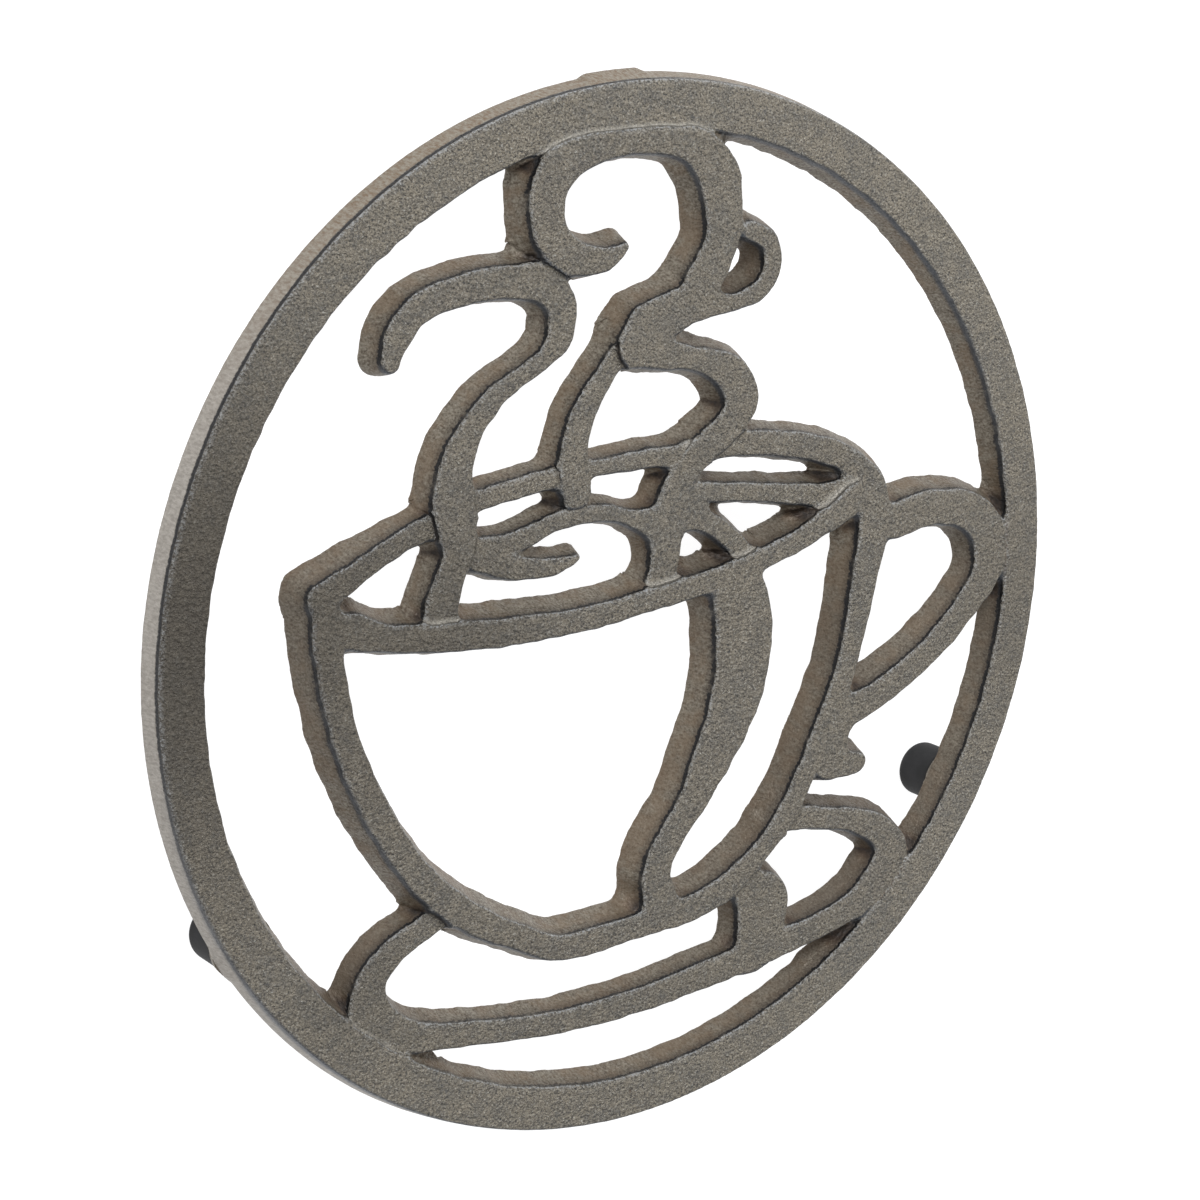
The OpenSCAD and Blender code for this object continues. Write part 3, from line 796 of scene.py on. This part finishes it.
class Graph:
    """A new material's node tree. Its calls take a socket to link or a number to set."""

    def __init__(self, name: str) -> None:
        """Start a material with a name."""
        self.material = bpy.data.materials.new(name)
        self.material.use_nodes = True
        self.tree = self.material.node_tree
        self.tree.nodes.clear()
        self.place = self.add("TexCoord").outputs["Object"]

    def add(self, kind: str, links: dict[str | int, object] | None = None,
            **settings: object) -> bpy.types.Node:
        """Add a node with its settings and links.

        Args:
            kind: the node's type name, without its ShaderNode prefix.
            links: what goes into each input.
            settings: properties of the node.

        Returns:
            The node.
        """
        node = self.tree.nodes.new("ShaderNode" + kind)
        for name, value in settings.items():
            setattr(node, name, value)
        for name, value in (links or {}).items():
            if isinstance(value, bpy.types.NodeSocket):
                self.tree.links.new(value, node.inputs[name])
            else:
                node.inputs[name].default_value = value
        return node

    def coats(self, base: object, *coats: tuple[object, object]) -> bpy.types.NodeSocket:
        """Lay coats of colour over each other. A colour is a socket or an sRGB hex code.

        Args:
            base: colour of the lowest coat.
            coats: how much each further coat covers, and its colour.

        Returns:
            The colour on top.
        """
        for cover, colour in coats:
            under, over = (linear(c) if isinstance(c, str) else c for c in (base, colour))
            links = {Pick.FACTOR.value: cover, Pick.A.value: under, Pick.B.value: over}
            base = self.add("Mix", links, data_type="RGBA").outputs[Pick.RESULT.value]
        return base

    def stretch(self, value: object, low: float, high: float, to_low: float = 0.0,
                to_high: float = 1.0) -> bpy.types.NodeSocket:
        """Map a value between two limits to two others, held at the ends."""
        return self.add("MapRange", {"Value": value, "From Min": low, "From Max": high,
                                     "To Min": to_low, "To Max": to_high}).outputs[0]

    def band(self, value: object, *limits: float) -> bpy.types.NodeSocket:
        """Rise from 0 to 1 over the first two limits, and fall back over the last two."""
        rise, fall = self.stretch(value, *limits[:2]), self.stretch(value, *limits[:1:-1])
        return self.times(rise, fall)

    def math(self, how: str, a: object, b: object = 0.0) -> bpy.types.NodeSocket:
        """Join two values by one operation."""
        return self.add("Math", {0: a, 1: b}, operation=how).outputs[0]

    def plus(self, a: object, b: object) -> bpy.types.NodeSocket:
        """Add two values."""
        return self.math("ADD", a, b)

    def times(self, first: object, *others: object) -> bpy.types.NodeSocket:
        """Multiply values."""
        for value in others:
            first = self.math("MULTIPLY", first, value)
        return first

    def noise(self, size_mm: float, **settings: object) -> bpy.types.NodeSocket:
        """Add noise from 0 to 1 whose bumps have a real size, with the node's other inputs."""
        links = {"Vector": self.place, "Scale": 1 / (size_mm * MM), **settings}
        return self.add("TexNoise", links).outputs["Fac"]

    def finish(self, inputs: dict[str, object], height: object, strength: float,
               relief_mm: float) -> bpy.types.Material:
        """Add the shader with its relief and return the material.

        Args:
            inputs: the shader's inputs.
            height: the relief, from 0 to 1.
            strength: how much of it shows.
            relief_mm: its height in mm.

        Returns:
            The material.
        """
        links = {"Height": height, "Strength": strength, "Distance": relief_mm * MM}
        normal = self.add("Bump", links).outputs[0]
        shader = self.add("BsdfPrincipled", {**inputs, "Normal": normal})
        self.add("OutputMaterial", {"Surface": shader.outputs[0]})
        return self.material


@dataclass(frozen=True)
class SandCastIron:
    """Grey cast iron as it leaves the sand, oiled: faces keep the grain of the sand under a thin
    brown-grey film of oxide, walls are smoother and browner, and black scale sits along the
    edges and in the corners, where the oil pools. Painted shade darkens the corners, creases,
    the walls below crests, crests that face down and some patches, and painted highlights
    lighten the crests, ledges that face up and specks on the faces."""

    film: str = "#857e71"
    grit: str = "#5a554d"
    vein: str = "#34383d"
    scale: str = "#4e5358"
    # Painted highlight specks on the faces.
    glint: str = "#a6a5a0"
    wall_dark: str = "#463c31"
    wall_pale: str = "#807a6e"
    wall_warm: str = "#665542"
    rim_dark: str = "#7f7a73"
    rim_pale: str = "#97928b"
    rust: str = "#4a3323"
    black: str = "#0f0e10"
    # Dark oxide, and painted shade in corners, creases and below crests.
    soot_and_shade: str = "#1f1813"
    # Painted shade on crests that face down.
    down_crest_shade: str = "#3a414b"
    # Painted highlights on the crests.
    edge_glint: str = "#9a9da0"
    # Painted light on ledges that face up.
    pale: str = "#aeaaa1"
    # Painted shade in patches.
    shadow: str = "#46413a"
    grain_mm: float = 0.42
    lump_mm: float = 0.85
    blotch_mm: float = 3.2
    crack_mm: float = 1.1
    streak_mm: float = 0.5
    drawn_out: tuple[float, ...] = (1.0, 1.0, 0.4)
    patch_mm: float = 15.0
    relief_mm: float = 0.9
    metallic: float = 0.35

    def material(self) -> bpy.types.Material:
        """Build the node tree."""
        g = Graph("sand_cast_iron")
        drawn = g.add("VectorMath", {0: g.place, 1: self.drawn_out}, operation="MULTIPLY")
        out, deep, crease, ledge, nook, outer, up, left, dull, pit = (
            g.add("Attribute", attribute_name=name).outputs["Fac"]
            for name in "out deep crease ledge nook outer up left dull pit".split())
        fine, lump, patch = (g.noise(size, Detail=3.0, Roughness=0.6)
                             for size in (self.grain_mm, self.lump_mm, self.patch_mm))
        streak = g.noise(self.streak_mm, Detail=3.0, Roughness=0.6, Vector=drawn.outputs[0])
        blotch = g.noise(self.blotch_mm, Detail=4.0, Roughness=0.6)
        clouds, bands = g.plus(blotch, patch), g.stretch(streak, 0.35, 0.65)
        shake = g.stretch(g.plus(lump, fine), 0.7, 1.3, -0.12, 0.12)
        ragged = g.plus(out, g.times(shake, g.stretch(outer, 0.0, 1.0, 1.0, 0.3)))
        wall = g.stretch(ragged, -0.05, 0.25)

        crack = g.noise(self.crack_mm, Detail=4.0, Roughness=0.65, Distortion=0.8)
        crack = g.stretch(g.math("ABSOLUTE", g.plus(crack, -0.5)), 0.0, 0.045, 1.0, 0.0)
        speck = g.stretch(g.plus(blotch, lump), 1.05, 0.85)
        face = g.coats(
            self.grit,
            (g.stretch(fine, 0.34, 0.52), self.film),
            (g.times(g.stretch(clouds, 0.90, 1.20), 0.35, g.stretch(lump, 0.3, 0.6)), self.scale),
            (g.times(crack, g.stretch(blotch, 0.30, 0.56), 0.7), self.vein),
            (g.times(speck, g.stretch(fine, 0.44, 0.36), 0.85), self.vein),
            # Painted highlight specks.
            (g.times(g.stretch(fine, 0.58, 0.70), 0.8), self.glint),
            # Painted shade in patches, on the faces.
            (g.times(dull, g.stretch(lump, 0.25, 0.7, 1.0, 0.6)), self.shadow),
            (g.times(pit, g.stretch(g.plus(lump, pit), 1.05, 1.45)), self.rust))
        side = g.coats(
            self.wall_dark,
            (g.stretch(g.plus(streak, fine), 0.75, 1.25), self.wall_pale),
            (g.times(g.stretch(deep, 0.75, 1.0), g.stretch(blotch, 0.45, 0.65), 0.35), self.rust),
            (g.times(g.stretch(clouds, 0.90, 1.15), 0.5), self.wall_warm),
            # Painted shade in patches, on the walls.
            (g.times(dull, 0.75), self.wall_dark))
        # Painted shade: the rim's outer wall turns darker and browner towards the top.
        shaded_rim_side = g.coats(self.wall_warm, (bands, self.wall_pale))
        rim_side = g.coats(self.rim_dark, (bands, self.rim_pale), (dull, shaded_rim_side))

        facing = g.stretch(g.plus(g.times(left, 0.7), g.times(up, 0.4)), 0.0, 0.6)
        corner = g.times(nook, facing, g.stretch(ragged, 0.0, 0.5))
        wide = g.times(ragged, g.stretch(g.math("MAXIMUM", outer, up), 0.0, 1.0, 1.0, 2.0))
        colour = g.coats(
            face,
            (wall, g.coats(side, (outer, rim_side))),
            # Rust, dark oxide and painted shade in the corners, and painted shade below the crests.
            (g.times(corner, g.stretch(blotch, 0.3, 0.6, 0.45, 0.85)), self.rust),
            (g.times(g.stretch(corner, 0.25, 0.8), g.stretch(lump, 0.3, 0.6, 0.65, 1.0)),
             self.soot_and_shade),
            (g.times(g.band(ragged, -0.02, 0.10, 0.2, 0.9), facing,
                     g.stretch(outer, 0.0, 1.0, 0.62, 0.0)), self.soot_and_shade),
            # Painted highlights on the crests: specks, and a line where they face up.
            (g.times(g.band(out, -1.0, -0.1, 0.0, 0.15), facing, g.stretch(fine, 0.44, 0.58), 0.5),
             self.edge_glint),
            (g.times(g.band(ragged, -0.28, -0.12, -0.04, 0.04), g.stretch(up, 0.3, 0.8),
                     g.stretch(fine, 0.42, 0.56), 0.7), self.edge_glint),
            # The black line of scale, thinner on the rim and where a wall faces up.
            (g.times(g.stretch(ragged, -0.03, 0.03), g.stretch(wide, 0.48, 0.36), facing,
                     g.stretch(g.plus(blotch, outer), 0.30, 0.45)), self.black),
            # Painted shade on crests that face down and in the creases at the foot of a step, and
            # painted light on ledges that face up.
            (g.times(g.band(out, -0.45, -0.1, 0.2, 0.5), g.stretch(up, -0.2, -0.8), 0.8),
             self.down_crest_shade),
            (g.times(crease, g.stretch(up, 0.2, 0.8, 0.7, 0.1)), self.soot_and_shade),
            (g.times(ledge, g.stretch(fine, 0.3, 0.6, 0.35, 0.75)), self.pale))

        # The relief is coarser where the shade patches are painted.
        height = g.times(g.plus(g.times(fine, 0.6), g.times(lump, 1.25)),
                         g.stretch(dull, 0.2, 1.0, 1.0, 1.5), g.stretch(wall, 0.0, 1.0, 1.0, 0.13))
        height = g.plus(height, g.times(streak, wall, 0.17))
        inputs = {"Base Color": colour, "Roughness": g.stretch(fine, 0.35, 0.65, 0.62, 0.40),
                  "Metallic": self.metallic}
        return g.finish(inputs, height, 1.0, self.relief_mm)


@dataclass(frozen=True)
class MouldedRubber:
    """Black nitrile rubber from a matt mould: a soft dark grey sheen and a bloom of dust."""

    body: str = "#101112"
    bloom: str = "#1b1b1d"
    cloud_mm: float = 4.0
    speck_mm: float = 0.5
    relief_mm: float = 0.1
    roughness: float = 0.66
    sheen: float = 0.3

    def material(self) -> bpy.types.Material:
        """Build the node tree."""
        g = Graph("moulded_rubber")
        cloud, speck = g.noise(self.cloud_mm, Detail=4.0), g.noise(self.speck_mm, Detail=2.0)
        inputs = {"Base Color": g.coats(self.body, (g.stretch(cloud, 0.4, 0.65), self.bloom)),
                  "Roughness": self.roughness, "Specular IOR Level": self.sheen}
        return g.finish(inputs, speck, 0.25, self.relief_mm)


@dataclass
class Studio:
    """Pale floor, soft light and the camera at the photograph's viewing angle."""

    focal_px: float = 3000.0
    turn_x: float = 0.2227
    turn_y: float = -0.6304
    shift: tuple[float, float, float] = (0.0793, 0.0403, 5.5902)
    face_z: float = 15.5
    unit: float = 98.9
    floor_half: float = 3000.0
    floor_glow: float = 0.92
    sky_glow: float = 0.55

    def camera(self) -> None:
        """Place the camera from its fitted turn and shift.

        In the camera's frame, with x right, y down and z forward, a point of the part is
        turned about x, then about y, and moved by the shift, all in units of the rim's radius.
        """
        (cx, sx), (cy, sy) = ((math.cos(t), math.sin(t)) for t in (self.turn_x, self.turn_y))
        rx = np.array([[1, 0, 0], [0, cx, -sx], [0, sx, cx]])
        ry = np.array([[cy, 0, sy], [0, 1, 0], [-sy, 0, cy]])
        flip = np.diag([1.0, -1.0, -1.0])
        turn = flip @ ry @ rx @ flip
        at = -turn.T @ (flip @ np.array(self.shift)) * self.unit + np.array([0, 0, self.face_z])
        world = np.eye(4)
        world[:3, :3], world[:3, 3] = turn.T, at * MM
        data = bpy.data.cameras.new("camera")
        data.sensor_fit, data.sensor_width = "HORIZONTAL", 36.0
        data.lens = 36.0 * self.focal_px / 1200
        data.clip_start, data.clip_end = 0.01, 20
        obj = bpy.data.objects.new("camera", data)
        obj.matrix_world = Matrix(world.tolist())
        bpy.context.scene.collection.objects.link(obj)
        bpy.context.scene.camera = obj

    def light(self, name: str, at: tuple[float, float, float], size: float, watts: float) -> None:
        """Add a square soft light that looks at the part.

        Args:
            name: name of the light.
            at: place in metres.
            size: width in metres.
            watts: power.
        """
        data = bpy.data.lights.new(name, "AREA")
        data.size, data.energy = size, watts
        obj = bpy.data.objects.new(name, data)
        toward = np.array(at) / np.linalg.norm(at)
        side = np.cross([0, 0, 1.0], toward)
        side = side / np.linalg.norm(side)
        world = np.eye(4)
        world[:3] = np.stack([side, np.cross(toward, side), toward, at], axis=1)
        obj.matrix_world = Matrix(world.tolist())
        bpy.context.scene.collection.objects.link(obj)

    def floor(self) -> None:
        """Add the pale floor, which glows a little so that it stays near white."""
        corners = self.floor_half * np.array([[-1, -1, 0], [1, -1, 0], [1, 1, 0], [-1, 1, 0.0]])
        obj = make_object("floor", corners, np.array([[0, 1, 2, 3]]), 30)
        mat = bpy.data.materials.new("white_sweep")
        mat.use_nodes = True
        shader = mat.node_tree.nodes["Principled BSDF"]
        shader.inputs["Base Color"].default_value = (0.25, 0.25, 0.26, 1)
        shader.inputs["Roughness"].default_value = 0.9
        shader.inputs["Emission Color"].default_value = (1, 1, 1, 1)
        shader.inputs["Emission Strength"].default_value = self.floor_glow
        obj.data.materials.append(mat)

    def build(self) -> None:
        """Set up the whole studio."""
        self.camera()
        self.floor()
        self.light("window", (-0.30, 1.05, 0.85), 0.50, 14)
        self.light("fill", (-0.9, 0.1, 0.9), 0.7, 5)
        self.light("panel", (0.50, 0.30, 0.42), 0.35, 2.2)
        world = bpy.data.worlds.new("studio")
        world.use_nodes = True
        world.node_tree.nodes["Background"].inputs[0].default_value = (1, 1, 1, 1)
        world.node_tree.nodes["Background"].inputs[1].default_value = self.sky_glow
        bpy.context.scene.world = world
        bpy.context.scene.view_settings.view_transform = "Standard"


def main() -> None:
    """Build the casting, the feet and the studio, and report each piece."""
    logging.basicConfig(level=logging.INFO, format="%(message)s")
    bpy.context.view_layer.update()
    iron, rubber = SandCastIron().material(), MouldedRubber().material()
    casting = Casting()
    casting.build()
    casting.dress(iron)
    pieces = [*casting.pieces.values()]
    for name, deg, foot_r in FEET:
        foot = Foot(name, f"cap_{name}", f"{name}_cap", deg, foot_r)
        foot.cap()
        foot.peg()
        foot.dress(iron, rubber)
        pieces += foot.pieces.values()
    for obj in pieces:
        LOG.info("%s: %d triangles", obj.name, len(obj.data.polygons))
    Studio().build()


if __name__ == "__main__":
    main()
